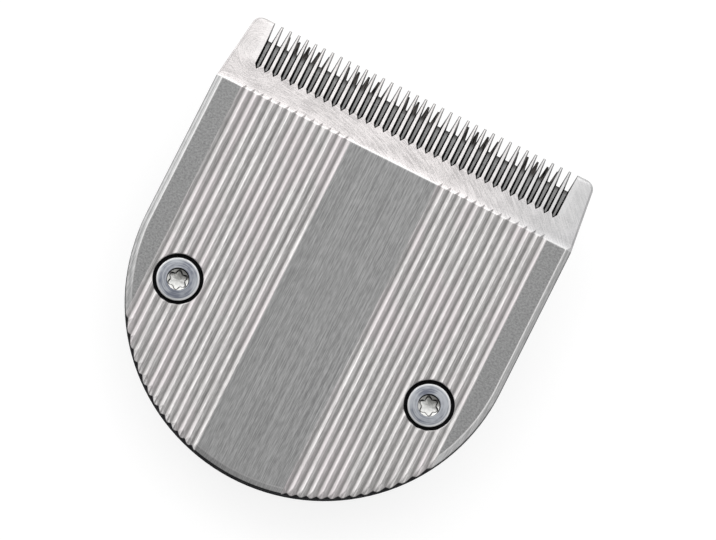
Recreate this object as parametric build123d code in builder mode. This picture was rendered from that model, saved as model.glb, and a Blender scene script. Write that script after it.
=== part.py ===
import os

from build123d import *

os.makedirs("parts", exist_ok=True)

# Millimetres. X runs across the blade, Y toward the tooth tips, Z up out of the ribbed face.
# The set lies on the rim of its carrier, with the middle of its outline over the origin.

# Comb plate outline
plate_width = 46.0
plate_length = 50.0
plate_thickness = 2.2
rim_chamfer_width = 0.75
rim_chamfer_depth = 0.3
ear_taper = 1.05
ear_corner_radius = 1.25
ear_edge_break = 0.2

# Ground front of the comb
toothed_length = 8.8
shoulder_run = 0.9
shoulder_drop = 0.32
tip_thickness = 0.75
nose_length = 0.6
nose_thickness = 0.3

# Comb slots, sized on the cutting face and widening upward
slot_pitch = 1.1
slot_width = 0.4
slot_end_width = 0.22
slot_depth = 5.55
slot_draft = 10.0
slot_run_out = 0.15
slot_flare_length = 2.4
ear_width = 3.4
comb_tip_width = 0.3

# Lengthwise reeding, one band on each side of the centre land
centre_land = 11.15
side_land = 2.375
reed_pitch = 1.1
reed_depth = 0.26
reed_crest = 0.2

# Six-lobe screws
screw_inset = 6.725
screw_setback = 5.25
head_diameter = 5.1
head_height = 1.2
head_sink = 0.2
head_edge = 0.16
shank_point = 0.2
head_clearance = 0.425
shank_diameter = 2.5
shank_clearance = 0.35
thread_clearance = 0.05
tip_gap = 0.3
recess_diameter = 2.5
recess_core = 1.75
recess_depth = 0.8
left_recess_turn = 43.0
right_recess_turn = 57.0

# Moving cutter
blade_film = 0.02
cutter_depth = 15.5
cutter_thickness = 1.4
cutter_setback = 0.65
cutter_pitch = 1.29
cutter_end_land = 0.9
cutter_tooth_length = 1.55
cutter_tooth_base = 0.66
cutter_tip_width = 0.24
cutter_bevel_length = 4.6
cutter_edge_thickness = 0.45
cutter_corner = 1.0
relief_depth = 0.3
relief_width = 8.0
relief_setback = 6.2

# Drive yoke on the cutter's back
yoke_width = 32.0
yoke_depth = 6.0
yoke_thickness = 2.2
yoke_setback = 0.65
yoke_corner = 1.0
drive_block_width = 9.0
drive_block_length = 12.0
drive_slot_width = 3.6
drive_slot_depth = 7.8
drive_floor_gap = 0.8
peg_diameter = 2.5
peg_clearance = 0.03
peg_spacing = 23.0

# Blade carrier
carrier_height = 6.0
carrier_inset = 1.2
carrier_front = 6.5
web_thickness = 2.0
skirt_thickness = 1.6
skirt_edge = 0.4
boss_diameter = 7.2
boss_floor = 0.9
drive_notch_width = 15.0
drive_notch_end = 1.5
hook_width = 10.0
hook_window = 14.0
hook_stem = 1.6
hook_lip = 1.6
hook_lip_thickness = 1.4
hook_setback = 0.6
hook_nose = 0.5

# Pressure spring and its seats
wire_diameter = 1.1
wire_sides = 8
wire_gap = 0.06
wire_bend = 1.6
spring_rear_y = -9.0
spring_rear_width = 15.0
spring_front_width = 19.0
spring_foot = 5.0
groove_depth = 0.8
groove_clearance = 0.2
cutter_travel = 1.4
seat_clearance = 0.3
seat_thickness = 1.6
ledge_y = 4.0
ledge_width = 3.0
ledge_thickness = 1.0

# Positions that follow
half_width = plate_width / 2
front_y = plate_length / 2
rear_y = -plate_length / 2
rear_centre_y = rear_y + half_width
shoulder_y = front_y - toothed_length
toothed_width = plate_width - 2 * ear_width
screw_x = half_width - screw_inset
screw_y = rear_centre_y - screw_setback
screw_places = [(-screw_x, screw_y), (screw_x, screw_y)]
plate_bottom = carrier_height
plate_top = plate_bottom + plate_thickness
cutter_top = plate_bottom - blade_film
cutter_bottom = cutter_top - cutter_thickness
cutter_tip_y = front_y - cutter_setback
cutter_gullet_y = cutter_tip_y - cutter_tooth_length
cutter_rear_y = cutter_tip_y - cutter_depth
web_bottom = carrier_height - web_thickness
yoke_rear_y = cutter_rear_y + yoke_setback
yoke_front_y = yoke_rear_y + yoke_depth
yoke_bottom = cutter_bottom - yoke_thickness
wire_radius = wire_diameter / 2
wire_groove = wire_diameter + 2 * groove_clearance
foot_y = (yoke_rear_y + yoke_front_y) / 2
foot_z = yoke_bottom + groove_depth - wire_gap - wire_radius
rear_z = web_bottom - wire_gap - wire_radius

# Comb plate: outline, rim chamfer, ground front, slots, reeding, screw holes
slot_count = round((toothed_width - slot_width) / slot_pitch) + 1
slot_bottom_y = front_y - slot_depth
slot_flare_y = front_y - slot_flare_length
slot_end_y = slot_bottom_y + slot_run_out
slot_half = slot_width / 2
slot_end_half = slot_end_width / 2
slot_mouth_half = (slot_pitch - comb_tip_width) / 2
ear_half = half_width - ear_taper
bevel_y = shoulder_y + shoulder_run
bevel_z = plate_top - shoulder_drop
nose_y = front_y - nose_length
nose_z = plate_bottom + tip_thickness
bevel_direction = (nose_y - bevel_y, nose_z - bevel_z)
reed_band = half_width - rim_chamfer_width - side_land - centre_land / 2
reed_count = round(reed_band / reed_pitch)
reed_half = (reed_pitch - reed_crest) / 2
reed_x = centre_land / 2 + reed_count * reed_pitch / 2
overcut = 1.0

with BuildSketch() as comb_slot:
    with BuildLine():
        Polyline(
            (0, slot_bottom_y),
            (-slot_end_half, slot_end_y),
            (-slot_half, slot_flare_y),
            (-slot_mouth_half, front_y),
            (-slot_mouth_half, front_y + overcut),
            (slot_mouth_half, front_y + overcut),
            (slot_mouth_half, front_y),
            (slot_half, slot_flare_y),
            (slot_end_half, slot_end_y),
            close=True,
        )
    make_face()

with BuildPart() as comb_plate:
    with BuildSketch(Plane.XY.offset(plate_bottom)):
        with BuildLine():
            Polyline(
                (half_width, rear_centre_y),
                (half_width, shoulder_y),
                (ear_half, front_y),
                (-ear_half, front_y),
                (-half_width, shoulder_y),
                (-half_width, rear_centre_y),
            )
            ThreePointArc((-half_width, rear_centre_y), (0, rear_y), (half_width, rear_centre_y))
        make_face()
    extrude(amount=plate_thickness)
    top_face = comb_plate.faces().sort_by(Axis.Z)[-1]
    rim_edges = top_face.edges().filter_by_position(Axis.Y, rear_y - overcut, front_y - 0.01)
    chamfer(rim_edges, length=rim_chamfer_width, length2=rim_chamfer_depth, reference=top_face)
    with BuildSketch(Plane.YZ):
        with BuildLine():
            TangentArc(
                (bevel_y, bevel_z),
                (shoulder_y, plate_top),
                tangent=(-bevel_direction[0], -bevel_direction[1]),
            )
            Line((bevel_y, bevel_z), (nose_y, nose_z))
            TangentArc((nose_y, nose_z), (front_y, plate_bottom + nose_thickness), tangent=bevel_direction)
            Polyline(
                (front_y, plate_bottom + nose_thickness),
                (front_y + overcut, plate_bottom + nose_thickness),
                (front_y + overcut, plate_top + overcut),
                (shoulder_y, plate_top + overcut),
                (shoulder_y, plate_top),
            )
        make_face()
    extrude(amount=plate_width, both=True, mode=Mode.SUBTRACT)
    ear_corners = comb_plate.edges().filter_by(Axis.Z).group_by(Axis.Y)[-1]
    fillet(ear_corners, radius=ear_corner_radius)
    ear_edges = comb_plate.edges().filter_by_position(Axis.Y, bevel_y + 0.01, front_y)
    ear_edges = ear_edges.filter_by_position(Axis.Z, plate_bottom + nose_thickness, plate_top)
    ear_edges = ear_edges.filter_by(Axis.Z, reverse=True).filter_by(Axis.X, reverse=True)
    chamfer(ear_edges, length=ear_edge_break)
    with BuildSketch(Plane.XY.offset(plate_bottom)):
        with GridLocations(slot_pitch, 0, slot_count, 1):
            add(comb_slot.sketch)
    extrude(amount=plate_thickness, taper=-slot_draft, mode=Mode.SUBTRACT)
    with BuildSketch(Plane.XZ):
        with Locations((-reed_x, plate_top), (reed_x, plate_top)):
            with GridLocations(reed_pitch, 0, reed_count, 1):
                Polygon((-reed_half, 0), (0, -reed_depth), (reed_half, 0), align=None)
    extrude(amount=plate_length, both=True, mode=Mode.SUBTRACT)
    with Locations([(x, y, plate_top) for x, y in screw_places]):
        CounterBoreHole(
            radius=shank_diameter / 2 + shank_clearance,
            counter_bore_radius=head_diameter / 2 + head_clearance,
            counter_bore_depth=head_height + head_sink,
        )
comb_plate.part.label = "comb_plate"
export_step(comb_plate.part, "parts/comb_plate.step")

# Cutter: toothed outline, ground underside, sliding rails with a relief between them, peg holes
cutter_half = toothed_width / 2
cutter_count = round((toothed_width - 2 * cutter_end_land) / cutter_pitch) + 1
first_tooth = -(cutter_count - 1) * cutter_pitch / 2
base_half = cutter_tooth_base / 2
tip_half = cutter_tip_width / 2
cutter_bevel_y = cutter_tip_y - cutter_bevel_length
cutter_edge_z = cutter_top - cutter_edge_thickness
relief_y = cutter_tip_y - relief_setback - relief_width / 2
peg_places = [(-peg_spacing / 2, foot_y), (peg_spacing / 2, foot_y)]

with BuildPart() as cutter_blade:
    with BuildSketch(Plane.XY.offset(cutter_bottom)):
        with BuildLine():
            for i in range(cutter_count):
                tooth_x = first_tooth + i * cutter_pitch
                Polyline(
                    (tooth_x - base_half, cutter_gullet_y),
                    (tooth_x - tip_half, cutter_tip_y),
                    (tooth_x + tip_half, cutter_tip_y),
                    (tooth_x + base_half, cutter_gullet_y),
                )
                if i < cutter_count - 1:
                    next_base_x = tooth_x + cutter_pitch - base_half
                    Line((tooth_x + base_half, cutter_gullet_y), (next_base_x, cutter_gullet_y))
            Polyline(
                (-first_tooth + base_half, cutter_gullet_y),
                (cutter_half, cutter_gullet_y),
                (cutter_half, cutter_rear_y),
                (-cutter_half, cutter_rear_y),
                (-cutter_half, cutter_gullet_y),
                (first_tooth - base_half, cutter_gullet_y),
            )
        make_face()
    extrude(amount=cutter_thickness)
    fillet(cutter_blade.edges().filter_by(Axis.Z).group_by(Axis.Y)[0], radius=cutter_corner)
    with BuildSketch(Plane.YZ):
        with BuildLine():
            Polyline(
                (cutter_bevel_y, cutter_bottom),
                (cutter_tip_y, cutter_edge_z),
                (cutter_tip_y + overcut, cutter_edge_z),
                (cutter_tip_y + overcut, cutter_bottom - overcut),
                (cutter_bevel_y, cutter_bottom - overcut),
                close=True,
            )
        make_face()
    extrude(amount=plate_width, both=True, mode=Mode.SUBTRACT)
    with BuildSketch(Plane.XY.offset(cutter_top)):
        with Locations((0, relief_y)):
            Rectangle(toothed_width + 2 * overcut, relief_width)
    extrude(amount=-relief_depth, mode=Mode.SUBTRACT)
    with Locations([(x, y, cutter_top) for x, y in peg_places]):
        Hole(radius=peg_diameter / 2 + peg_clearance)
cutter_blade.part.label = "cutter_blade"
export_step(cutter_blade.part, "parts/cutter_blade.step")

# Drive yoke: bar with spring grooves, drive block with its open slot, two pegs up into the cutter
block_rear_y = yoke_front_y - drive_block_length
drive_slot_end_y = block_rear_y + drive_slot_depth - drive_slot_width / 2
groove_in = spring_front_width / 2 - wire_radius - cutter_travel - seat_clearance
groove_out = yoke_width / 2 + overcut
notch_out = spring_front_width / 2 + wire_bend + cutter_travel
groove_x = (groove_in + groove_out) / 2
notch_x = (groove_in + notch_out) / 2
notch_y = (yoke_rear_y - overcut + foot_y) / 2

with BuildPart() as drive_yoke:
    with BuildSketch(Plane.XY.offset(yoke_bottom)):
        with Locations((0, foot_y)):
            RectangleRounded(yoke_width, yoke_depth, yoke_corner)
    extrude(amount=yoke_thickness)
    with BuildSketch(Plane.XY.offset(drive_floor_gap)):
        with Locations((0, yoke_front_y - drive_block_length / 2)):
            RectangleRounded(drive_block_width, drive_block_length, yoke_corner)
    extrude(amount=cutter_bottom - drive_floor_gap)
    with BuildSketch(Plane.XY.offset(drive_floor_gap)):
        with Locations((0, (block_rear_y - overcut + drive_slot_end_y) / 2)):
            Rectangle(drive_slot_width, drive_slot_end_y - block_rear_y + overcut)
        with Locations((0, drive_slot_end_y)):
            Circle(drive_slot_width / 2)
    extrude(amount=cutter_bottom - drive_floor_gap, mode=Mode.SUBTRACT)
    with BuildSketch(Plane.XY.offset(yoke_bottom)):
        with Locations((-groove_x, foot_y), (groove_x, foot_y)):
            Rectangle(groove_out - groove_in, wire_groove)
    extrude(amount=groove_depth, mode=Mode.SUBTRACT)
    with BuildSketch(Plane.XY.offset(yoke_bottom)):
        with Locations((-notch_x, notch_y), (notch_x, notch_y)):
            Rectangle(notch_out - groove_in, foot_y - yoke_rear_y + overcut)
    extrude(amount=groove_depth + seat_clearance, mode=Mode.SUBTRACT)
    with BuildSketch(Plane.XY.offset(cutter_bottom)):
        with Locations(peg_places):
            Circle(peg_diameter / 2)
    extrude(amount=cutter_thickness - relief_depth)
drive_yoke.part.label = "drive_yoke"
export_step(drive_yoke.part, "parts/drive_yoke.step")

# Carrier: web under the comb, skirt, screw bosses, rear hook, seats for the spring
carrier_half = half_width - carrier_inset
inner_half = carrier_half - skirt_thickness
carrier_rear_y = rear_centre_y - carrier_half
notch_half = drive_notch_width / 2
hook_rear_y = carrier_rear_y + hook_setback
stem_rear_y = hook_rear_y + hook_lip
stem_front_y = stem_rear_y + hook_stem
spring_reach = foot_y - spring_rear_y
ledge_share = (ledge_y - spring_rear_y) / spring_reach
arm_x = spring_rear_width / 2 + (spring_front_width - spring_rear_width) / 2 * ledge_share
arm_z = rear_z + (foot_z - rear_z) * ledge_share
ledge_top = arm_z - wire_radius - seat_clearance / 2
ledge_bottom = ledge_top - ledge_thickness
post_in = arm_x + wire_radius + seat_clearance
post_out = post_in + seat_thickness
ledge_in = arm_x - wire_radius
seat_bottom = rear_z - wire_radius
seat_offset = wire_radius + seat_clearance / 2 + seat_thickness / 2
rear_seat_width = spring_rear_width - 2 * wire_bend - wire_diameter

with BuildPart() as blade_carrier:
    with BuildSketch(Plane.XY.offset(web_bottom)):
        with BuildLine():
            Polyline(
                (-carrier_half, rear_centre_y),
                (-carrier_half, carrier_front),
                (-notch_half, carrier_front),
                (-notch_half, drive_notch_end),
                (notch_half, drive_notch_end),
                (notch_half, carrier_front),
                (carrier_half, carrier_front),
                (carrier_half, rear_centre_y),
            )
            ThreePointArc((-carrier_half, rear_centre_y), (0, carrier_rear_y), (carrier_half, rear_centre_y))
        make_face()
    extrude(amount=web_thickness)
    with BuildSketch():
        with BuildLine():
            Polyline(
                (-carrier_half, rear_centre_y),
                (-carrier_half, carrier_front),
                (-inner_half, carrier_front),
                (-inner_half, rear_centre_y),
            )
            Polyline(
                (carrier_half, rear_centre_y),
                (carrier_half, carrier_front),
                (inner_half, carrier_front),
                (inner_half, rear_centre_y),
            )
            ThreePointArc((-carrier_half, rear_centre_y), (0, carrier_rear_y), (carrier_half, rear_centre_y))
            ThreePointArc(
                (-inner_half, rear_centre_y),
                (0, rear_centre_y - inner_half),
                (inner_half, rear_centre_y),
            )
        make_face()
    extrude(amount=web_bottom)
    floor_edges = blade_carrier.edges().group_by(Axis.Z)[0]
    outer_arc = floor_edges.filter_by(GeomType.CIRCLE).sort_by(SortBy.RADIUS)[-1]
    outer_sides = floor_edges.filter_by(Axis.Y)
    chamfer([outer_arc, outer_sides.sort_by(Axis.X)[0], outer_sides.sort_by(Axis.X)[-1]], length=skirt_edge)
    with BuildSketch():
        with Locations((0, carrier_rear_y)):
            Rectangle(hook_window, 2 * (stem_front_y - carrier_rear_y))
    extrude(amount=web_bottom, mode=Mode.SUBTRACT)
    with BuildSketch(Plane.YZ):
        with BuildLine():
            Polyline(
                (stem_front_y, web_bottom),
                (stem_front_y, 0),
                (hook_rear_y + hook_nose, 0),
                (hook_rear_y, hook_nose),
                (hook_rear_y, hook_lip_thickness),
                (stem_rear_y, hook_lip_thickness),
                (stem_rear_y, web_bottom),
                close=True,
            )
        make_face()
    extrude(amount=hook_width / 2, both=True)
    with BuildSketch():
        with Locations(screw_places):
            Circle(boss_diameter / 2)
    extrude(amount=web_bottom)
    with BuildSketch(Plane.XY.offset(seat_bottom)):
        with Locations((0, spring_rear_y - seat_offset), (0, spring_rear_y + seat_offset)):
            Rectangle(rear_seat_width, seat_thickness)
    extrude(amount=web_bottom - seat_bottom)
    with BuildSketch(Plane.XY.offset(ledge_bottom)):
        with Locations((-(post_in + post_out) / 2, ledge_y), ((post_in + post_out) / 2, ledge_y)):
            Rectangle(post_out - post_in, ledge_width)
    extrude(amount=web_bottom - ledge_bottom)
    with BuildSketch(Plane.XY.offset(ledge_bottom)):
        with Locations((-(ledge_in + post_out) / 2, ledge_y), ((ledge_in + post_out) / 2, ledge_y)):
            Rectangle(post_out - ledge_in, ledge_width)
    extrude(amount=ledge_thickness)
    with Locations([(x, y, carrier_height) for x, y in screw_places]):
        Hole(radius=shank_diameter / 2 + thread_clearance, depth=carrier_height - boss_floor)
blade_carrier.part.label = "blade_carrier"
export_step(blade_carrier.part, "parts/blade_carrier.step")

# Pressure spring: one formed wire, its crossbar under the web and its feet in the yoke's grooves
spring_length = (spring_reach**2 + (foot_z - rear_z) ** 2) ** 0.5
spring_plane = Plane(
    origin=(0, spring_rear_y, rear_z),
    x_dir=(1, 0, 0),
    z_dir=(0, rear_z - foot_z, spring_reach),
)

with BuildPart() as pressure_spring:
    with BuildLine(spring_plane) as wire_path:
        FilletPolyline(
            (spring_front_width / 2 + spring_foot, spring_length),
            (spring_front_width / 2, spring_length),
            (spring_rear_width / 2, 0),
            (-spring_rear_width / 2, 0),
            (-spring_front_width / 2, spring_length),
            (-spring_front_width / 2 - spring_foot, spring_length),
            radius=wire_bend,
        )
    with BuildSketch(Plane(origin=wire_path.line @ 0, x_dir=spring_plane.z_dir, z_dir=wire_path.line % 0)):
        RegularPolygon(wire_radius, wire_sides, major_radius=False)
    sweep()
pressure_spring.part.label = "pressure_spring"
export_step(pressure_spring.part, "parts/pressure_spring.step")

# Screws: flat head with a six-lobe recess, plain shank down into the carrier's boss
head_top = plate_top - head_sink
head_bottom = head_top - head_height
shank_tip = boss_floor + tip_gap
lobe_points = [Vector(recess_diameter / 2, 0).rotate(Axis.Z, 60 * i) for i in range(7)]
flute_points = [Vector(recess_core / 2, 0).rotate(Axis.Z, 60 * i + 30) for i in range(6)]

with BuildSketch() as six_lobe:
    with BuildLine():
        for i in range(6):
            ThreePointArc(lobe_points[i], flute_points[i], lobe_points[i + 1])
    make_face()

for screw_name, place, recess_turn in (
    ("screw_left", screw_places[0], left_recess_turn),
    ("screw_right", screw_places[1], right_recess_turn),
):
    with BuildPart() as screw:
        with BuildSketch(Plane.XY.offset(head_bottom)):
            with Locations(place):
                Circle(head_diameter / 2)
        extrude(amount=head_height)
        chamfer(screw.edges().group_by(Axis.Z)[-1], length=head_edge)
        with BuildSketch(Plane.XY.offset(shank_tip)):
            with Locations(place):
                Circle(shank_diameter / 2)
        extrude(amount=head_bottom - shank_tip)
        chamfer(screw.edges().group_by(Axis.Z)[0], length=shank_point)
        with BuildSketch(Plane.XY.offset(head_top)):
            with Locations(Location((*place, 0), recess_turn)):
                add(six_lobe.sketch)
        extrude(amount=-recess_depth, mode=Mode.SUBTRACT)
    screw.part.label = screw_name
    export_step(screw.part, f"parts/{screw_name}.step")
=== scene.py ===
import math

import bpy
from mathutils import Matrix, Vector


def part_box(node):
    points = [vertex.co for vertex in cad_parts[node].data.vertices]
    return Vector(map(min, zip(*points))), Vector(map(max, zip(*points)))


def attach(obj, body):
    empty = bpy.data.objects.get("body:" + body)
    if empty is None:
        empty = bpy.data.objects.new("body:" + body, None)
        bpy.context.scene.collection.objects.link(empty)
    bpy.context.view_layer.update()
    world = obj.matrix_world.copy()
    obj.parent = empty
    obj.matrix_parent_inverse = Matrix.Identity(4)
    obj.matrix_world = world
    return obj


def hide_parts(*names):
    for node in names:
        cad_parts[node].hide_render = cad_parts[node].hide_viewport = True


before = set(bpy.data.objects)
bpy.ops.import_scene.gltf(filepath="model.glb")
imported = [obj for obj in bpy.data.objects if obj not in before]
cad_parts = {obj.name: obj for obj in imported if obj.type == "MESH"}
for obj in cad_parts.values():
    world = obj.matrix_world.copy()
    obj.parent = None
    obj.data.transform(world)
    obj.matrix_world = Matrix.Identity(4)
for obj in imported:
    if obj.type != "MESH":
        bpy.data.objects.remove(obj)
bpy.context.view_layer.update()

# Places and sizes are in metres, in the part's own frame: X across the blade, Y toward the tooth tips,
# Z up out of the reeded face. The materials work in millimetres of that frame.
MM = 0.001
plate_low, plate_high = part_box("comb_plate")
_, cutter_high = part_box("cutter_blade")
screw_boxes = [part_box("screw_left"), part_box("screw_right")]
screw_places = [(low + high) / 2 for low, high in screw_boxes]
head_radius = (screw_boxes[0][1].x - screw_boxes[0][0].x) / 2

# Zones of the comb plate's face, for its material
toothed_length = 8.8 * MM
centre_land_half = 5.575 * MM
reed_outer = 19.875 * MM
reed_pitch = 1.1 * MM
groove_half = 0.41 * MM
reed_depth = 0.26 * MM
chamfer_width = 0.75 * MM
comb_teeth_length = 5.8 * MM
slots_half = 20.2 * MM
bore_radius = head_radius + 0.425 * MM
shoulder_y = plate_high.y - toothed_length
rear_centre_y = plate_low.y + plate_high.x

# How far each screw's recess is turned, in degrees, as the photograph has it
left_recess_turn = 43.0
right_recess_turn = 57.0

# The photograph's view
image_width = 716
image_height = 540
view_azimuth = math.radians(5.0)
view_elevation = math.radians(81.0)
image_turn = math.radians(26.7)
pixels_per_metre = 8625.0
plate_centre_pixel = (330.5, 289.3)
lens_mm = 800.0
sensor_mm = 36.0

# Lamps: name, direction from the part, width, height and radiance of its face
lamp_distance = 0.6
lamps = [
    ("left_box", (-0.93, 0.1, 0.37), 0.6, 0.5, 1.3),
    ("front_box", (-0.15, 0.62, 0.77), 1.1, 0.5, 0.82),
    ("low_front_box", (-0.12, 0.93, 0.36), 1.1, 0.34, 0.9),
    ("right_card", (0.6, 0.0, 0.8), 0.9, 0.13, 1.25),
    ("left_card", (-0.47, 0.05, 0.88), 0.6, 0.16, 0.4),
    ("rear_card", (0.4, -0.5, 0.77), 0.4, 0.2, 0.4),
]


def grey(level):
    return (level, level, level, 1)


class Graph:
    """A node tree with short calls for the nodes that the materials share."""

    def __init__(self, tree):
        self.tree = tree

    def feed(self, socket, value):
        if isinstance(value, bpy.types.NodeSocket):
            self.tree.links.new(value, socket)
        elif value is not None:
            socket.default_value = value

    def node(self, kind, *inputs, **settings):
        made = self.tree.nodes.new("ShaderNode" + kind)
        for name, value in settings.items():
            setattr(made, name, value)
        for socket, value in zip(made.inputs, inputs):
            self.feed(socket, value)
        return made

    def math(self, operation, *inputs):
        return self.node("Math", *inputs, operation=operation).outputs[0]

    def plus(self, first, second):
        return self.math("ADD", first, second)

    def less(self, first, second):
        return self.math("SUBTRACT", first, second)

    def times(self, first, second):
        return self.math("MULTIPLY", first, second)

    def rest(self, share):
        """What a share leaves of 1."""
        return self.less(1.0, share)

    def blend(self, share, first, second):
        """One colour turning into another as share goes from 0 to 1."""
        made = self.node("Mix", data_type="RGBA")
        self.feed(made.inputs["Factor"], share)
        self.feed(made.inputs[6], first)
        self.feed(made.inputs[7], second)
        return made.outputs[2]

    def mix(self, share, first, second):
        """One number turning into another as share goes from 0 to 1."""
        made = self.node("Mix")
        self.feed(made.inputs["Factor"], share)
        self.feed(made.inputs[2], first)
        self.feed(made.inputs[3], second)
        return made.outputs[0]

    def between(self, value, start, end, low=0.0, high=1.0):
        """low below start, high above end, and a smooth change from one to the other."""
        made = self.node("MapRange", value, start, end, low, high, interpolation_type="SMOOTHSTEP")
        return made.outputs[0]

    def band(self, value, start, end, soft_start, soft_end):
        """1 from start to end, fading to 0 over soft_start before it and over soft_end after it."""
        rising = self.between(value, start - soft_start, start)
        return self.times(rising, self.between(value, end, end + soft_end, 1.0, 0.0))

    def millimetres(self):
        """The point on the piece, in millimetres of the piece's own frame."""
        place = self.node("TexCoord").outputs["Object"]
        scaled = self.node("VectorMath", place, operation="SCALE")
        scaled.inputs["Scale"].default_value = 1 / MM
        return scaled.outputs[0]

    def normal(self):
        return self.node("TexCoord").outputs["Normal"]

    def split(self, vector):
        return self.node("SeparateXYZ", vector).outputs

    def flat(self, x, y):
        return self.node("CombineXYZ", x, y).outputs[0]

    def length(self, vector):
        return self.node("VectorMath", vector, operation="LENGTH").outputs["Value"]

    def noise(self, place, stretch, detail=3.0, roughness=0.55):
        """Noise whose features are stretch long in each direction, in the units of place."""
        mapping = self.node("Mapping", place, vector_type="TEXTURE")
        mapping.inputs["Scale"].default_value = stretch
        texture = self.node("TexNoise", mapping.outputs[0])
        texture.inputs["Scale"].default_value = 1.0
        texture.inputs["Detail"].default_value = detail
        texture.inputs["Roughness"].default_value = roughness
        return texture.outputs["Fac"]

    def arcs(self, place, centre, across, along):
        """Scratches on arcs about centre, across mm wide and along radians long, and each point's reach."""
        offset = self.node("VectorMath", place, centre, operation="SUBTRACT").outputs[0]
        reach = self.length(offset)
        way = self.split(self.node("VectorMath", offset, operation="NORMALIZE").outputs[0])
        polar = self.node("CombineXYZ", reach, way[0], way[1]).outputs[0]
        return self.noise(polar, (across, along, along), detail=4.0, roughness=0.65), reach

    def rounded(self, radius):
        """The surface's direction, with each edge eased over radius metres."""
        return self.node("Bevel", radius, samples=8).outputs[0]

    def edges(self, radius):
        """1 along the edges of the piece, within about radius metres of them, and 0 elsewhere."""
        plain = self.node("NewGeometry").outputs["True Normal"]
        eased = self.node("VectorMath", self.rounded(radius), plain, operation="DOT_PRODUCT")
        return self.between(eased.outputs["Value"], 0.9, 0.995, 1.0, 0.0)

    def bump(self, height, depth, normal=None, strength=1.0):
        """A surface that rises by depth metres where height goes from 0 to 1."""
        made = self.node("Bump")
        self.feed(made.inputs["Strength"], strength)
        made.inputs["Distance"].default_value = depth
        self.feed(made.inputs["Height"], height)
        self.feed(made.inputs["Normal"], normal)
        return made.outputs[0]


def new_material(name, metallic):
    material = bpy.data.materials.new(name)
    material.use_nodes = True
    shader = material.node_tree.nodes["Principled BSDF"]
    shader.inputs["Metallic"].default_value = metallic
    return material, Graph(material.node_tree), shader.inputs


def dress(node_name, material):
    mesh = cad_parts[node_name].data
    mesh.materials.clear()
    mesh.materials.append(material)


class CombZones:
    """Where a point of the comb lies, in millimetres, and its share from 0 to 1 in each zone of the plate."""

    def __init__(self, graph):
        border = 0.05
        rear_full = -16.0
        rear_start = -5.0
        self.place = graph.millimetres()
        self.x, self.y, self.z = graph.split(self.place)
        self.flat_place = graph.flat(self.x, self.y)
        _, self.lean, self.facing = graph.split(graph.normal())
        self.across = graph.math("ABSOLUTE", self.x)
        self.front = graph.between(self.y, shoulder_y / MM, shoulder_y / MM + 0.12)
        land_edge = centre_land_half / MM
        self.centre = graph.between(self.across, land_edge - border, land_edge + border, 1.0, 0.0)
        self.side = graph.between(self.across, reed_outer / MM - border, reed_outer / MM + border)
        self.ears = graph.between(self.across, slots_half / MM, slots_half / MM + 0.2)
        self.rearward = graph.between(self.y, rear_full, rear_start, 1.0, 0.0)
        self.shaded_upright = shaded_walls(graph, self)
        self.reed_height = reed_profile(graph, self.across)


def shaded_walls(graph, zones):
    """The share of painted shade on the plate's walls: 1 on the walls, less at the tooth tips, and in the
    bores only below their bright upper edge.
    """
    tip_length = 1.4
    tip_fade = 1.0
    tip_share = 0.35
    bright_bore = 0.35
    bore_fade = 0.15
    walls = graph.between(graph.math("ABSOLUTE", zones.facing), 0.15, 0.5, 1.0, 0.0)
    tip_y = plate_high.y / MM - tip_length
    tips = graph.between(zones.y, tip_y - tip_fade, tip_y)
    walls = graph.times(walls, graph.rest(graph.times(tips, tip_share)))
    # In each bore, painted shade fills the gap round the screw head below its bright upper edge.
    bright_z = plate_high.z / MM - bright_bore
    sunk = graph.between(zones.z, bright_z - bore_fade, bright_z, 1.0, 0.0)
    for screw in screw_places:
        axis = (screw.x / MM, screw.y / MM, 0)
        reach = graph.node("VectorMath", zones.flat_place, axis, operation="DISTANCE").outputs["Value"]
        bore = graph.between(reach, bore_radius / MM, bore_radius / MM + 0.02, 1.0, 0.0)
        walls = graph.mix(bore, walls, sunk)
    return walls


def reed_profile(graph, across):
    """The height of the reeding: 0 at the bottom of a groove, 1 on a crest."""
    step = graph.math("DIVIDE", graph.less(across, centre_land_half / MM), reed_pitch / MM)
    from_groove = graph.math("ABSOLUTE", graph.less(graph.math("FRACT", step), 0.5))
    return graph.math("MINIMUM", graph.math("DIVIDE", from_groove, groove_half / MM), 1.0)


def ground_marks(graph, zones):
    """Grinding marks of the toothed front: wide arcs, tight ones on the left guard tooth, and fine grain."""
    wide_centre = (-16.0, -14.0, 0)
    tight_centre = (-19.8, 21.0, 0)
    tight_reach = 2.5
    tight_fade = 3.0
    wide, _ = graph.arcs(zones.flat_place, wide_centre, 0.09, 0.05)
    tight, reach = graph.arcs(zones.flat_place, tight_centre, 0.11, 0.5)
    arcs = graph.mix(graph.between(reach, tight_reach, tight_reach + tight_fade, 0.9, 0.0), wide, tight)
    grain = graph.noise(zones.place, (0.11, 0.11, 0.11), detail=3.0, roughness=0.7)
    return graph.plus(graph.times(arcs, 0.5), graph.times(grain, 0.5))


def land_colours(graph, zones, streaks):
    """The brushed centre land, and the blasted side land, which is brushed on its chamfer."""
    brushed = graph.blend(graph.between(streaks, 0.62, 1.08), grey(0.318), grey(0.535))
    mottle = graph.noise(zones.place, (0.26, 0.22, 0.2), detail=4.0, roughness=0.75)
    blasted = graph.blend(graph.between(mottle, 0.35, 0.65), grey(0.305), grey(0.495))
    sloped = graph.between(zones.facing, 0.935, 0.97, 1.0, 0.0)
    return brushed, graph.blend(sloped, blasted, brushed)


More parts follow.
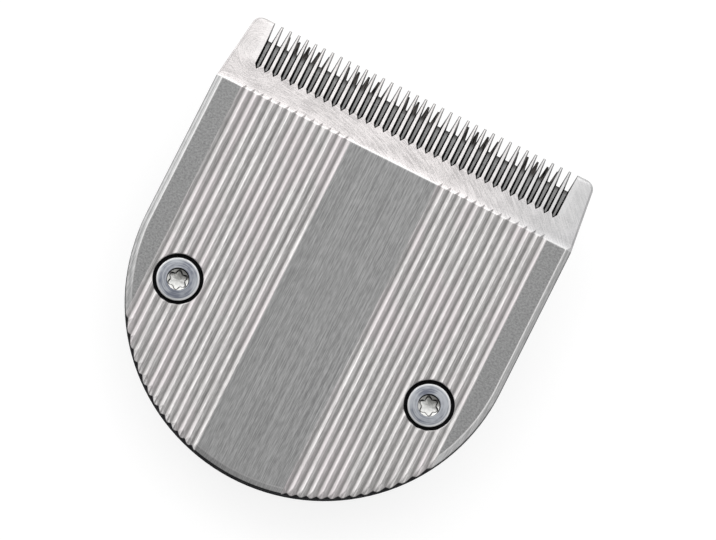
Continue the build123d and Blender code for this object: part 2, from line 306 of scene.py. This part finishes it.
def reed_colour(graph, zones, fine_brushing):
    """Drawn lines along the reeds, warm stains, and dirt with painted shade toward the bottom of the grooves.
    """
    lines = graph.noise(zones.place, (0.11, 5.0, 1.0), detail=3.0, roughness=0.7)
    drift = graph.noise(zones.place, (0.9, 14.0, 1.0), detail=2.0)
    stain = graph.noise(zones.place, (3.0, 8.0, 3.0), detail=2.0)
    tone = graph.plus(graph.plus(lines, graph.times(drift, 0.4)), graph.times(fine_brushing, 0.6))
    reed = graph.blend(graph.between(tone, 0.78, 1.22), (0.4, 0.388, 0.385, 1), (0.7, 0.685, 0.68, 1))
    reed = graph.blend(graph.between(stain, 0.45, 0.65, 0.0, 0.6), reed, (0.6, 0.555, 0.565, 1))
    # Dirt and painted shade darken the grooves toward their bottom, and the crests stay lighter.
    soil_and_shade = graph.between(zones.reed_height, 0.0, 0.85, 0.5, 0.0)
    return graph.blend(soil_and_shade, reed, (0.2, 0.195, 0.19, 1))


def mark_rim(graph, zones, face):
    """A painted highlight along the chamfer's top, a scored line on the left, and painted shade along the
    outer edge, with notches where the reeds run out.
    """
    edge_width = 0.08
    land_edge_width = 0.1
    notch_length = 0.27
    bright_width = 0.08
    score_start = 0.36
    score_end = 0.38
    score_right = -20.0
    behind = graph.math("MINIMUM", graph.less(zones.y, rear_centre_y / MM), 0.0)
    gap = graph.less(plate_high.x / MM, graph.length(graph.flat(zones.x, behind)))
    chamfer_top = chamfer_width / MM
    # Painted highlight: a light line along the top of the chamfer, a little stronger on the right.
    bright = graph.band(gap, chamfer_top - bright_width, chamfer_top, 0.12, 0.06)
    side_share = graph.between(zones.x, -1.0, 1.0, 0.4, 0.6)
    bright_share = graph.mix(zones.rearward, side_share, graph.times(zones.centre, 0.3))
    face = graph.blend(graph.times(bright_share, bright), face, (0.93, 0.92, 0.91, 1))
    score = graph.band(gap, score_start, score_end, 0.08, 0.08)
    score = graph.times(score, graph.between(zones.x, score_right, score_right + 1.0, 0.5, 0.0))
    face = graph.blend(graph.times(score, graph.rest(zones.rearward)), face, grey(0.1))
    # Painted shade: a near-black line along the outer edge, reaching further in at the grooves toward the
    # rear.
    reeds = graph.rest(graph.math("MAXIMUM", zones.centre, zones.side))
    notch = graph.times(graph.rest(zones.reed_height), graph.times(reeds, notch_length))
    width = graph.plus(graph.mix(zones.rearward, edge_width, 0.0), graph.times(notch, zones.rearward))
    width = graph.plus(width, graph.times(zones.centre, land_edge_width))
    dark = graph.between(graph.less(gap, width), -0.04, 0.06, 1.0, 0.0)
    dark_share = graph.times(dark, graph.mix(zones.rearward, 0.6, 0.97))
    return graph.blend(dark_share, face, (0.012, 0.012, 0.014, 1))


def ground_colour(graph, zones, grinding, cloud):
    """The ground front: a painted highlight along the shoulder, teeth painted lighter as a painted highlight,
    and painted shade toward the right end.
    """
    tone = graph.between(graph.plus(grinding, graph.times(cloud, 0.16)), 0.465, 0.68)
    ground = graph.blend(tone, (0.43, 0.41, 0.408, 1), (0.8, 0.765, 0.76, 1))
    # Painted highlight along the shoulder.
    shoulder_highlight = graph.between(zones.y, shoulder_y / MM + 0.1, shoulder_y / MM + 0.3, 0.6, 0.0)
    ground = graph.blend(shoulder_highlight, ground, (0.95, 0.93, 0.92, 1))
    # The teeth are painted lighter toward their tips as a painted highlight, less on the guard teeth.
    teeth_y = (plate_high.y - comb_teeth_length) / MM
    teeth = graph.between(zones.y, teeth_y, teeth_y + 1.0)
    bright = graph.times(teeth, graph.mix(zones.ears, 0.5, 0.2))
    ground = graph.blend(bright, ground, (0.9, 0.88, 0.87, 1))
    # Painted shade: the colour darkens toward the right end.
    return graph.blend(graph.between(zones.x, 4.0, 24.0, 0.0, 0.52), ground, (0.4, 0.42, 0.43, 1))


def painted_wall_shade(graph, zones, cloud):
    """Walls painted near black as painted shade, with streaks along the shear, darkest in the slots."""
    shear = graph.noise(zones.place, (0.22, 0.22, 3.0), detail=4.0)
    tone = graph.between(graph.plus(shear, cloud), 0.7, 1.3)
    wall = graph.blend(tone, (0.022, 0.022, 0.024, 1), (0.05, 0.05, 0.053, 1))
    toothed = graph.times(zones.front, graph.rest(zones.ears))
    return graph.blend(toothed, wall, (0.012, 0.012, 0.013, 1))


def comb_steel():
    """Ground steel: brushed lands and reeds, a cross-ground front, and walls painted dark as painted shade in
    the slots, the bores and along the rim.
    """
    reed_easing = 0.2 * MM
    tooth_easing = 0.04 * MM
    ear_easing = 0.24 * MM
    scratch_depth = 0.003 * MM
    material, graph, shader = new_material("comb_steel", 1.0)
    zones = CombZones(graph)
    brushing = graph.noise(zones.place, (0.13, 24.0, 1.0), detail=4.0, roughness=0.7)
    fine_brushing = graph.noise(zones.place, (0.09, 1.1, 1.0), detail=2.0)
    streaks = graph.plus(brushing, graph.times(fine_brushing, 0.7))
    cloud = graph.noise(zones.place, (2.5, 2.5, 2.5), detail=2.0)
    grinding = ground_marks(graph, zones)

    land, side_land = land_colours(graph, zones, streaks)
    face = graph.blend(zones.centre, reed_colour(graph, zones, fine_brushing), land)
    face = mark_rim(graph, zones, graph.blend(zones.side, face, side_land))
    steel = graph.blend(zones.front, face, ground_colour(graph, zones, grinding, cloud))
    # The guard teeth are painted darker along their edges.
    darkened_ear_edge = graph.times(graph.edges(ear_easing), graph.times(zones.ears, 0.85))
    steel = graph.blend(darkened_ear_edge, steel, grey(0.2))
    underside = graph.between(zones.facing, -0.6, -0.4, 1.0, 0.0)
    steel = graph.blend(underside, steel, graph.blend(grinding, grey(0.34), (0.58, 0.575, 0.57, 1)))
    # Painted shade: the walls get a near-black, non-metallic colour without specular, so that they stay dark.
    colour = graph.blend(zones.shaded_upright, steel, painted_wall_shade(graph, zones, cloud))
    graph.feed(shader["Base Color"], colour)
    graph.feed(shader["Metallic"], graph.rest(zones.shaded_upright))
    shader["Specular IOR Level"].default_value = 0.0

    face_roughness = graph.between(streaks, 0.5, 1.2, 0.28, 0.40)
    ground_roughness = graph.between(grinding, 0.3, 0.7, 0.34, 0.44)
    graph.feed(shader["Roughness"], graph.mix(zones.front, face_roughness, ground_roughness))
    easing = graph.rounded(graph.mix(zones.front, reed_easing, tooth_easing))
    rear_chamfer = graph.between(zones.lean, -0.18, -0.12, 1.0, 0.0)
    bare = graph.math("MAXIMUM", graph.math("MAXIMUM", zones.centre, zones.side), zones.shaded_upright)
    run_out = graph.times(rear_chamfer, graph.rest(bare))
    reeded = graph.bump(zones.reed_height, reed_depth, easing, run_out)
    scratches = graph.mix(zones.front, streaks, grinding)
    graph.feed(shader["Normal"], graph.bump(scratches, scratch_depth, reeded))
    return material


def cutter_steel():
    """Lapped steel under a film of oil, with teeth painted near black toward their tips, and walls painted
    dark grey as painted shade.
    """
    teeth_length = 1.4
    teeth_fade = 0.9
    lapping_depth = 0.003 * MM
    material, graph, shader = new_material("cutter_steel", 1.0)
    place = graph.millimetres()
    _, y, _ = graph.split(place)
    _, _, facing = graph.split(graph.normal())
    shaded_upright = graph.between(graph.math("ABSOLUTE", facing), 0.15, 0.5, 1.0, 0.0)
    teeth_y = cutter_high.y / MM - teeth_length
    teeth = graph.between(y, teeth_y - teeth_fade, teeth_y)
    lapping = graph.noise(place, (3.5, 0.08, 0.5), detail=3.0)
    oil = graph.noise(place, (1.8, 1.8, 1.8), detail=3.0)
    tooth_lines = graph.noise(place, (0.1, 1.6, 0.5), detail=4.0, roughness=0.7)
    lapped = graph.blend(graph.between(lapping, 0.3, 0.7), grey(0.40), (0.54, 0.54, 0.535, 1))
    # The teeth are painted near black toward their tips, with lines along them.
    dark_teeth = graph.blend(graph.between(tooth_lines, 0.4, 0.62), grey(0.008), (0.16, 0.148, 0.14, 1))
    # The walls are painted dark grey as painted shade.
    steel = graph.blend(shaded_upright, graph.blend(teeth, lapped, dark_teeth), (0.055, 0.055, 0.06, 1))
    graph.feed(shader["Base Color"], steel)
    graph.feed(shader["Roughness"], graph.between(oil, 0.3, 0.7, 0.2, 0.36))
    graph.feed(shader["Normal"], graph.bump(lapping, lapping_depth))
    return material


def zinc_screw():
    """Zinc plate with a bluish passivation and turned rings, a rim lighter from wear and a painted highlight,
    and in the recess a floor painted bright as a painted highlight, dirt with painted shade on one side, and
    walls painted near black as painted shade.
    """
    wear_and_highlight_width = 0.15
    wear_and_highlight_fade = 0.2
    ring_depth = 0.012 * MM
    cloud_size = 2.1 * MM
    material, graph, shader = new_material("zinc_screw", 1.0)
    place = graph.millimetres()
    x, y, z = graph.split(place)
    _, _, facing = graph.split(graph.normal())
    steep = graph.between(facing, 0.3, 0.5, 1.0, 0.0)
    rings, reach = graph.arcs(graph.flat(x, y), (0, 0, 0), 0.17, 1.3)
    grain = graph.noise(place, (0.1, 0.1, 0.1), detail=3.0)
    # From the place in the part and not on the screw, so that the two heads differ
    cloud = graph.noise(graph.node("NewGeometry").outputs["Position"], (cloud_size,) * 3, detail=2.0)
    tone = graph.between(graph.plus(graph.times(rings, 1.3), graph.times(cloud, 1.4)), 1.05, 1.58)
    # The rim is painted lighter, for wear and as a painted highlight.
    wear_and_highlight_from = head_radius / MM - wear_and_highlight_width
    wear_and_highlight = graph.between(reach, wear_and_highlight_from - wear_and_highlight_fade, wear_and_highlight_from)
    zinc = graph.blend(tone, (0.2, 0.215, 0.265, 1), (0.54, 0.56, 0.595, 1))
    zinc = graph.blend(wear_and_highlight, zinc, (0.75, 0.76, 0.77, 1))
    # In the recess, the floor is painted bright as a painted highlight, and its +Y side darker with dirt and
    # painted shade.
    recess = graph.between(z, -0.2, -0.1, 1.0, 0.0)
    soil_and_shade_edge = graph.times(graph.noise(place, (0.3, 0.3, 0.3), detail=4.0), 1.6)
    soil_and_shade = graph.between(graph.plus(y, soil_and_shade_edge), 0.75, 1.45, 0.0, 0.7)
    floor = graph.blend(grain, (0.7, 0.7, 0.68, 1), (1.0, 1.0, 0.98, 1))
    zinc = graph.blend(recess, zinc, graph.blend(soil_and_shade, floor, (0.2, 0.2, 0.185, 1)))
    # Steep walls are painted near black, non-metallic and without specular, as painted shade.
    graph.feed(shader["Base Color"], graph.blend(steep, zinc, grey(0.03)))
    graph.feed(shader["Metallic"], graph.rest(steep))
    shader["Specular IOR Level"].default_value = 0.0
    graph.feed(shader["Roughness"], graph.between(grain, 0.3, 0.7, 0.38, 0.5))
    graph.feed(shader["Normal"], graph.bump(rings, ring_depth))
    return material


def head_profile(shank_tip):
    """Radius and height of each round ring, from the shank's tip up over the head's rounded rim."""
    rim = 0.16 * MM
    rim_steps = 5
    head_height = 1.2 * MM
    shank_radius = 1.25 * MM
    shank_point = 0.2 * MM
    profile = [
        (shank_radius - shank_point, shank_tip),
        (shank_radius, shank_tip + shank_point),
        (shank_radius, -head_height),
        (head_radius, -head_height),
    ]
    for step in range(rim_steps + 1):
        turn = math.pi / 2 * step / rim_steps
        profile.append((head_radius - rim + rim * math.cos(turn), rim * math.sin(turn) - rim))
    return profile


def recess_rings(angles, recess_turn):
    """Radii and heights of the recess's rings, from round entry to six-lobe floor, and the drill's depth."""
    lobe_count = 6
    entry_radius = 1.33 * MM
    entry_draft = 0.09 * MM
    entry_depth = 0.55 * MM
    ledge_slope = 0.55
    lobe_radius = 1.25 * MM
    flute_radius = 0.92 * MM
    recess_depth = 1.05 * MM
    floor_share = 0.84
    drill_depth = 0.3 * MM
    sides = len(angles)
    middle = (lobe_radius + flute_radius) / 2
    swing = (lobe_radius - flute_radius) / 2
    lobes = [middle + swing * math.cos(lobe_count * (angle - math.radians(recess_turn))) for angle in angles]
    ledge_radius = entry_radius - entry_draft
    ledge = [-entry_depth - (ledge_radius - lobe) * ledge_slope for lobe in lobes]
    rings = [
        ([entry_radius] * sides, [0.0] * sides),
        ([ledge_radius] * sides, [-entry_depth] * sides),
        (lobes, ledge),
        ([lobe * floor_share for lobe in lobes], [-recess_depth] * sides),
    ]
    return rings, -recess_depth - drill_depth


def ringed_mesh(name, angles, rings, first_height, last_height):
    """A closed mesh through the rings, with a point on the axis before the first and after the last."""
    sharp_angle = math.radians(25)
    sides = len(angles)
    points = [Vector((0, 0, first_height))]
    for radii, heights in rings:
        for angle, radius, height in zip(angles, radii, heights):
            points.append(Vector((radius * math.cos(angle), radius * math.sin(angle), height)))
    points.append(Vector((0, 0, last_height)))
    last = len(points) - 1
    top = last - sides
    faces = []
    for i in range(sides):
        after = (i + 1) % sides
        faces.append((0, 1 + after, 1 + i))
        for ring in range(len(rings) - 1):
            base = 1 + ring * sides
            faces.append((base + i, base + after, base + sides + after, base + sides + i))
        faces.append((top + i, top + after, last))
    mesh = bpy.data.meshes.new(name)
    mesh.from_pydata(points, [], faces)
    mesh.polygons.foreach_set("use_smooth", [last not in face for face in faces])
    mesh.set_sharp_from_angle(angle=sharp_angle)
    return mesh


def detailed_screw(node_name, recess_turn, material):
    """A flat-head screw with a rounded rim, a sunk six-lobe recess and a drilled floor."""
    sides = 96
    low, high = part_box(node_name)
    shank_tip = low.z - high.z
    angles = [2 * math.pi * i / sides for i in range(sides)]
    rings = [([radius] * sides, [height] * sides) for radius, height in head_profile(shank_tip)]
    recess, drill_tip = recess_rings(angles, recess_turn)
    mesh = ringed_mesh(node_name + "_detailed", angles, rings + recess, shank_tip, drill_tip)
    mesh.materials.append(material)
    screw = bpy.data.objects.new(node_name + "_detailed", mesh)
    screw.location = ((low.x + high.x) / 2, (low.y + high.y) / 2, high.z)
    bpy.context.scene.collection.objects.link(screw)
    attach(screw, "comb_set")
    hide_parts(node_name)


def carrier_plastic():
    """Black glass-filled plastic with a moulded grain, rubbed paler along its edges."""
    edge_easing = 0.15 * MM
    grain_depth = 0.05 * MM
    material, graph, shader = new_material("carrier_plastic", 0.0)
    place = graph.millimetres()
    grain = graph.noise(place, (0.3, 0.3, 0.3), detail=4.0)
    flow = graph.noise(place, (5.0, 2.0, 2.0), detail=3.0)
    plastic = graph.blend(graph.between(flow, 0.3, 0.7), (0.01, 0.01, 0.011, 1), (0.032, 0.032, 0.034, 1))
    rubbed = graph.times(graph.edges(edge_easing), graph.between(flow, 0.35, 0.6, 0.25, 0.8))
    graph.feed(shader["Base Color"], graph.blend(rubbed, plastic, (0.12, 0.12, 0.122, 1)))
    graph.feed(shader["Roughness"], graph.between(flow, 0.3, 0.7, 0.32, 0.52))
    graph.feed(shader["Normal"], graph.bump(grain, grain_depth, graph.rounded(edge_easing)))
    return material


def yoke_plastic():
    """Natural acetal: milky, waxy, with faint flow marks."""
    edge_easing = 0.15 * MM
    grain_depth = 0.006 * MM
    glow_depth = 0.6 * MM
    material, graph, shader = new_material("yoke_plastic", 0.0)
    place = graph.millimetres()
    flow = graph.noise(place, (4.0, 1.5, 1.5), detail=3.0)
    grain = graph.noise(place, (0.3, 0.3, 0.3), detail=2.0)
    graph.feed(shader["Base Color"], graph.blend(flow, (0.72, 0.70, 0.63, 1), (0.82, 0.81, 0.76, 1)))
    graph.feed(shader["Roughness"], graph.between(flow, 0.3, 0.7, 0.28, 0.42))
    graph.feed(shader["Normal"], graph.bump(grain, grain_depth, graph.rounded(edge_easing)))
    shader["Subsurface Weight"].default_value = 0.15
    shader["Subsurface Radius"].default_value = (1.0, 0.9, 0.7)
    shader["Subsurface Scale"].default_value = glow_depth
    return material


def spring_wire():
    """Cold-drawn spring wire: fine lines along the wire and a dull grey skin."""
    line_depth = 0.004 * MM
    material, graph, shader = new_material("spring_wire", 1.0)
    place = graph.millimetres()
    drawing = graph.noise(place, (0.09, 4.0, 0.09), detail=3.0)
    skin = graph.noise(place, (1.2, 1.2, 1.2), detail=3.0)
    tone = graph.between(graph.plus(drawing, skin), 0.7, 1.3)
    graph.feed(shader["Base Color"], graph.blend(tone, (0.34, 0.34, 0.35, 1), grey(0.56)))
    graph.feed(shader["Roughness"], graph.between(drawing, 0.3, 0.7, 0.28, 0.42))
    graph.feed(shader["Normal"], graph.bump(drawing, line_depth))
    return material


def bent_route(corners, bend):
    """A curve's points, each with its left and right handle, along corners rounded to the radius bend."""
    points = [(corners[0], corners[0], corners[0])]
    for before, corner, after in zip(corners, corners[1:], corners[2:]):
        inward = (before - corner).normalized()
        outward = (after - corner).normalized()
        turn = math.pi - inward.angle(outward)
        reach = bend * math.tan(turn / 2)
        handle = bend * 4 / 3 * math.tan(turn / 4)
        start = corner + inward * reach
        end = corner + outward * reach
        points.append((start, start + inward * handle, start - inward * handle))
        points.append((end, end - outward * handle, end + outward * handle))
    points.append((corners[-1], corners[-1], corners[-1]))
    return points


def round_spring(material):
    """The pressure spring as round wire on the route of its solid."""
    wire_radius = 0.55 * MM
    bend = 1.6 * MM
    rear_half = 7.5 * MM
    front_half = 9.5 * MM
    foot = 5.0 * MM
    low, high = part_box("pressure_spring")
    rear_y = low.y + wire_radius
    front_y = high.y - wire_radius
    rear_z = high.z - wire_radius
    front_z = low.z + wire_radius
    corners = [
        Vector((front_half + foot, front_y, front_z)),
        Vector((front_half, front_y, front_z)),
        Vector((rear_half, rear_y, rear_z)),
        Vector((-rear_half, rear_y, rear_z)),
        Vector((-front_half, front_y, front_z)),
        Vector((-front_half - foot, front_y, front_z)),
    ]
    curve = bpy.data.curves.new("pressure_spring_wire", "CURVE")
    curve.dimensions = "3D"
    curve.bevel_depth = wire_radius
    curve.bevel_resolution = 6
    curve.resolution_u = 12
    curve.use_fill_caps = True
    points = bent_route(corners, bend)
    spline = curve.splines.new("BEZIER")
    spline.bezier_points.add(len(points) - 1)
    for point, (place, left, right) in zip(spline.bezier_points, points):
        point.handle_left_type = "FREE"
        point.handle_right_type = "FREE"
        point.co = place
        point.handle_left = left
        point.handle_right = right
    spring = bpy.data.objects.new("pressure_spring_wire", curve)
    bpy.context.scene.collection.objects.link(spring)
    curve.materials.append(material)
    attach(spring, "comb_set")
    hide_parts("pressure_spring")


def make_floor():
    """A pale floor that shows as white and still takes the part's shadow."""
    half = 2.0
    paper_tone = 0.8
    shown_tone = 0.3
    shown_glow = 0.79
    mesh = bpy.data.meshes.new("floor")
    corners = [(-half, -half, 0), (half, -half, 0), (half, half, 0), (-half, half, 0)]
    mesh.from_pydata(corners, [], [(0, 1, 2, 3)])
    floor = bpy.data.objects.new("floor", mesh)
    bpy.context.scene.collection.objects.link(floor)
    material = bpy.data.materials.new("floor_paper")
    material.use_nodes = True
    graph = Graph(material.node_tree)
    nodes = material.node_tree.nodes
    nodes.remove(nodes["Principled BSDF"])
    rays = graph.node("LightPath").outputs
    seen = graph.math("MAXIMUM", rays["Is Camera Ray"], rays["Is Glossy Ray"])
    seen = graph.math("MAXIMUM", seen, rays["Is Transmission Ray"])
    paper = graph.node("BsdfDiffuse", grey(paper_tone)).outputs[0]
    shown = graph.node("BsdfDiffuse", grey(shown_tone)).outputs[0]
    glow = graph.node("Emission", grey(1), shown_glow).outputs[0]
    white = graph.node("AddShader", shown, glow).outputs[0]
    mixed = graph.node("MixShader", seen, paper, white).outputs[0]
    graph.feed(nodes["Material Output"].inputs["Surface"], mixed)
    mesh.materials.append(material)


def softbox(name, direction, width, height, radiance):
    """A rectangular lamp facing the part, whose face has the given radiance. The camera doesn't see it."""
    lamp = bpy.data.lights.new(name, "AREA")
    lamp.shape = "RECTANGLE"
    lamp.size = width
    lamp.size_y = height
    lamp.energy = radiance * math.pi * width * height
    light = bpy.data.objects.new(name, lamp)
    way = Vector(direction).normalized()
    light.location = (plate_low + plate_high) / 2 + way * lamp_distance
    light.rotation_euler = way.to_track_quat("Z", "Y").to_euler()
    light.visible_camera = False
    bpy.context.scene.collection.objects.link(light)


def make_world():
    """Soft room light, a little brighter on the side of the teeth."""
    rear_level = 0.36
    teeth_level = 0.54
    world = bpy.data.worlds.new("room")
    world.use_nodes = True
    bpy.context.scene.world = world
    graph = Graph(world.node_tree)
    way = graph.node("TexCoord").outputs["Generated"]
    _, toward_teeth, _ = graph.split(way)
    level = graph.node("MapRange", toward_teeth, -1.0, 1.0, rear_level, teeth_level).outputs[0]
    background = world.node_tree.nodes["Background"]
    graph.feed(background.inputs["Strength"], level)
    background.inputs["Color"].default_value = grey(1)


def make_camera():
    """The photograph's view, with the middle of the plate's underside where the photograph has it."""
    to_camera = Vector(
        (
            math.sin(view_azimuth) * math.cos(view_elevation),
            -math.cos(view_azimuth) * math.cos(view_elevation),
            math.sin(view_elevation),
        )
    )
    across_plate = Vector((1, 0, 0))
    side = (across_plate - to_camera * across_plate.dot(to_camera)).normalized()
    rise = to_camera.cross(side)
    right = side * math.cos(image_turn) + rise * math.sin(image_turn)
    up = to_camera.cross(right)
    middle = (plate_low + plate_high) / 2
    middle.z = plate_low.z
    off_right = (image_width / 2 - plate_centre_pixel[0]) / pixels_per_metre
    off_up = (plate_centre_pixel[1] - image_height / 2) / pixels_per_metre
    target = middle + right * off_right + up * off_up
    distance = image_width / pixels_per_metre * lens_mm / sensor_mm
    data = bpy.data.cameras.new("camera")
    data.lens = lens_mm
    data.sensor_width = sensor_mm
    data.sensor_fit = "HORIZONTAL"
    camera = bpy.data.objects.new("camera", data)
    camera.location = target + to_camera * distance
    camera.rotation_euler = Matrix((right, up, to_camera)).transposed().to_euler()
    bpy.context.scene.collection.objects.link(camera)
    bpy.context.scene.camera = camera


make_camera()
dress("comb_plate", comb_steel())
dress("cutter_blade", cutter_steel())
dress("drive_yoke", yoke_plastic())
dress("blade_carrier", carrier_plastic())
screw_material = zinc_screw()
dress("screw_left", screw_material)
dress("screw_right", screw_material)
detailed_screw("screw_left", left_recess_turn, screw_material)
detailed_screw("screw_right", right_recess_turn, screw_material)
wire_material = spring_wire()
dress("pressure_spring", wire_material)
round_spring(wire_material)

make_floor()
make_world()
for lamp_row in lamps:
    softbox(*lamp_row)
bpy.context.scene.view_settings.view_transform = "Standard"
